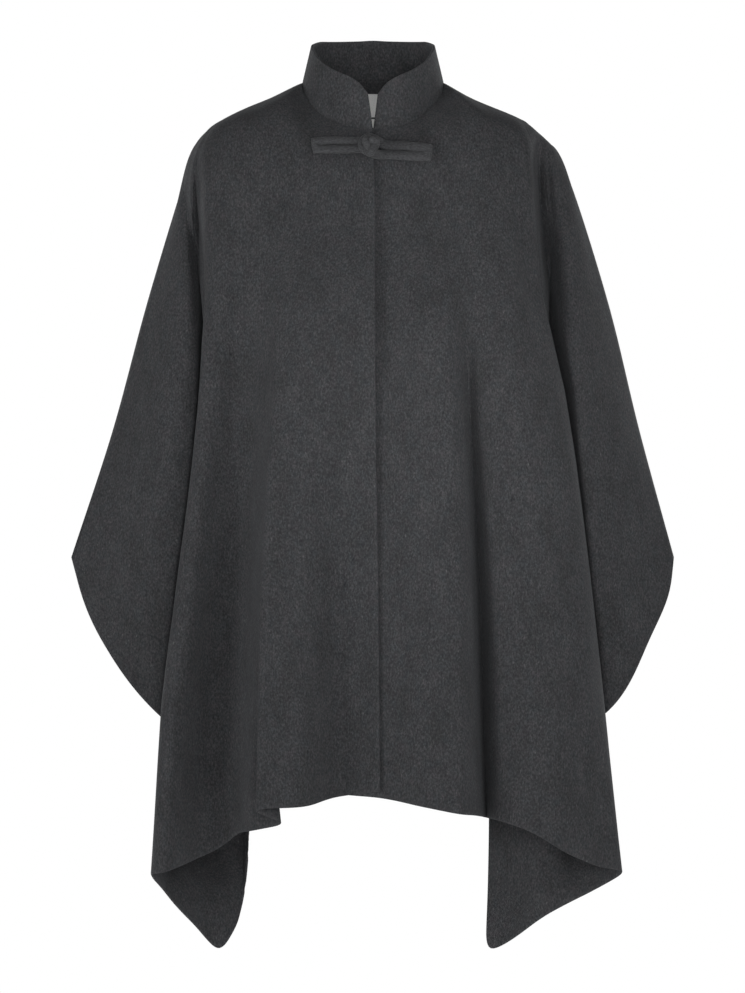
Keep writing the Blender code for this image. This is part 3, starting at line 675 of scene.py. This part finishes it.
# The knot: three turns of cord that pass over and under each other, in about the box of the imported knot
KNOT_CORD = 0.0038
KNOT_STEPS, KNOT_SIDES = 144, 16
KNOT_LEAN = radians(-12)
KNOT_FULLNESS = np.array([1.1, 1.0, 1.06])
KNOT_WIDE, KNOT_TALL = 2.7, 2.9  # what the plain curve is divided by to fit the box
low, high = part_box("frog_knot")
knot_centre = np.array((low + high) / 2)
knot_reach = np.array((high - low) / 2) * KNOT_FULLNESS - KNOT_CORD
t = np.linspace(0, 2 * pi, KNOT_STEPS, endpoint=False)
over, up = (np.sin(t) + 2 * np.sin(2 * t)) / KNOT_WIDE, (np.cos(t) - 2 * np.cos(2 * t)) / KNOT_TALL
line = np.stack([over * cos(KNOT_LEAN) - up * sin(KNOT_LEAN), np.sin(3 * t),
                 over * sin(KNOT_LEAN) + up * cos(KNOT_LEAN)], axis=-1)
line = line * knot_reach + knot_centre
curve = bpy.data.curves.new("knot_line", "CURVE")
curve.dimensions = "3D"
curve.bevel_depth = KNOT_CORD
curve.bevel_resolution = KNOT_SIDES // 2 - 2
spline = curve.splines.new("POLY")
spline.points.add(KNOT_STEPS - 1)
for target, point in zip(spline.points, line):
    target.co = (*point, 1)
spline.use_cyclic_u = True
knot = bpy.data.objects.new("knot", curve)
bpy.context.scene.collection.objects.link(knot)
bpy.ops.object.select_all(action="DESELECT")
knot.select_set(True)
bpy.context.view_layer.objects.active = knot
bpy.ops.object.convert(target="MESH")
knot = bpy.context.object
knot.data.materials.append(cord_wool("knot_wool"))
bpy.ops.object.shade_smooth()
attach(knot, "root")
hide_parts("frog_knot")


# ---------------------------------------------------------------- labels
# A plain woven label and a small tab below it, sewn inside the back just under the neck seam. Both are bare.
def woven(name):
    """Pale satin-woven ribbon: fine threads across, close together."""
    made, nodes, links, shader = new_material(name, {"Roughness": 0.6})
    place = nodes.new("ShaderNodeTexCoord")
    weave = with_inputs(nodes.new("ShaderNodeTexBrick"), {
        "Color1": (0.82, 0.82, 0.81, 1), "Color2": (0.74, 0.74, 0.73, 1), "Mortar": (0.55, 0.55, 0.54, 1),
        "Scale": 900, "Mortar Size": 0.06})
    turned = with_inputs(nodes.new("ShaderNodeMapping"), {"Rotation": (pi / 2, 0, 0)})
    links.new(place.outputs["Object"], turned.inputs["Vector"])
    links.new(turned.outputs["Vector"], weave.inputs["Vector"])
    links.new(weave.outputs["Color"], shader.inputs["Base Color"])
    in_relief(nodes, links, shader, weave.outputs["Fac"], 0.3, 0.0002)
    return made


LABEL_CORNER = radians(50)  # corners as sharp as this or sharper stay sharp
for node in ("neck_label", "size_tab"):
    label = taken_over(node, node + "_woven", 0)
    bpy.ops.object.shade_smooth_by_angle(angle=LABEL_CORNER)
    label.data.materials.append(woven(node + "_ribbon"))
    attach(label, "root")
    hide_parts(node)


# ---------------------------------------------------------------- floor, backdrop and light
# A pale round floor at standing height, and a white surround that lights little. Soft boxes stand in front
# and at the sides, the strongest of them to the viewer's left at chest height, and two of more power behind
# light the back panel. Three soft-edged pools of light fall on the label, the collar's back and the chest.
FLOOR = -1.45
FLOOR_RADIUS = 3.0
bpy.ops.object.select_all(action="DESELECT")
bpy.ops.mesh.primitive_circle_add(vertices=128, radius=FLOOR_RADIUS, fill_type="NGON", location=(0, 0, FLOOR))
floor = bpy.context.object
floor.name = "floor"
bpy.ops.object.transform_apply(location=True, rotation=True, scale=True)
floor_paint = new_material("pale_floor", {"Base Color": (0.85, 0.85, 0.85, 1), "Roughness": 0.8})[0]
floor.data.materials.append(floor_paint)

SURROUND_LIGHT = 0.08
world = bpy.data.worlds.new("studio")
world.use_nodes = True
nodes, links = world.node_tree.nodes, world.node_tree.links
surround = with_inputs(nodes["Background"], {"Color": (1, 1, 1, 1)})
seen = nodes.new("ShaderNodeLightPath")
strength = with_inputs(nodes.new("ShaderNodeMapRange"), {"To Min": SURROUND_LIGHT, "To Max": 1.0})
links.new(seen.outputs["Is Camera Ray"], strength.inputs["Value"])
links.new(strength.outputs["Result"], surround.inputs["Strength"])
bpy.context.scene.world = world


def light_at(kind, name, place, target, power):
    """A new light at its place, that faces a target."""
    bpy.ops.object.light_add(type=kind, location=place)
    light = bpy.context.object
    light.name = name
    light.data.energy = power
    light.rotation_euler = (Vector(target) - Vector(place)).to_track_quat("-Z", "Y").to_euler()
    return light.data


MIDDLE = (0, 0, -0.4)  # of the poncho, which the soft boxes face
SOFT_BOXES = (  # name, place, size and power
    ("light_left", (-2.5, -3.5, 0.3), (1.5, 2.0), 19),
    ("light_left_near", (-3.2, -2.0, -0.2), (1.0, 1.0), 48),
    ("light_front", (0.0, -2.6, -0.4), (0.8, 0.8), 26),
    ("light_above_right", (1.6, -2.4, 0.7), (1.0, 1.0), 13),
    ("light_low_right", (1.5, -2.6, -1.1), (1.0, 1.0), 18),
    ("light_side_left", (-3.5, -0.8, 0.0), (1.5, 2.0), 12),
    ("light_side_right", (3.5, -0.8, 0.0), (1.5, 2.0), 26),
    ("light_behind_left", (-2.6, 3.2, 0.6), (1.5, 2.0), 78),
    ("light_behind_right", (2.6, 3.2, 0.6), (1.5, 2.0), 96),
)
POOLS = (  # name, place, target, cone in degrees, power and softness
    ("light_neck", (0.0, -2.6, -0.03), (0.0, 0.0, -0.03), 1.6, 52, 0.02),
    ("light_collar", (0.0, -1.4, 1.2), (0.0, 0.03, 0.03), 4.0, 170, 0.1),
    ("light_chest", (0.1, -2.6, -0.4), (0.06, 0.0, -0.35), 16, 125, 0.25),
)
for name, place, size, power in SOFT_BOXES:
    light = light_at("AREA", name, place, MIDDLE, power)
    light.shape = "RECTANGLE"
    light.size, light.size_y = size
for name, place, target, cone, power, softness in POOLS:
    light = light_at("SPOT", name, place, target, power)
    light.spot_size = radians(cone)
    light.spot_blend = 1.0
    light.shadow_soft_size = softness
bpy.context.scene.view_settings.view_transform = "Standard"
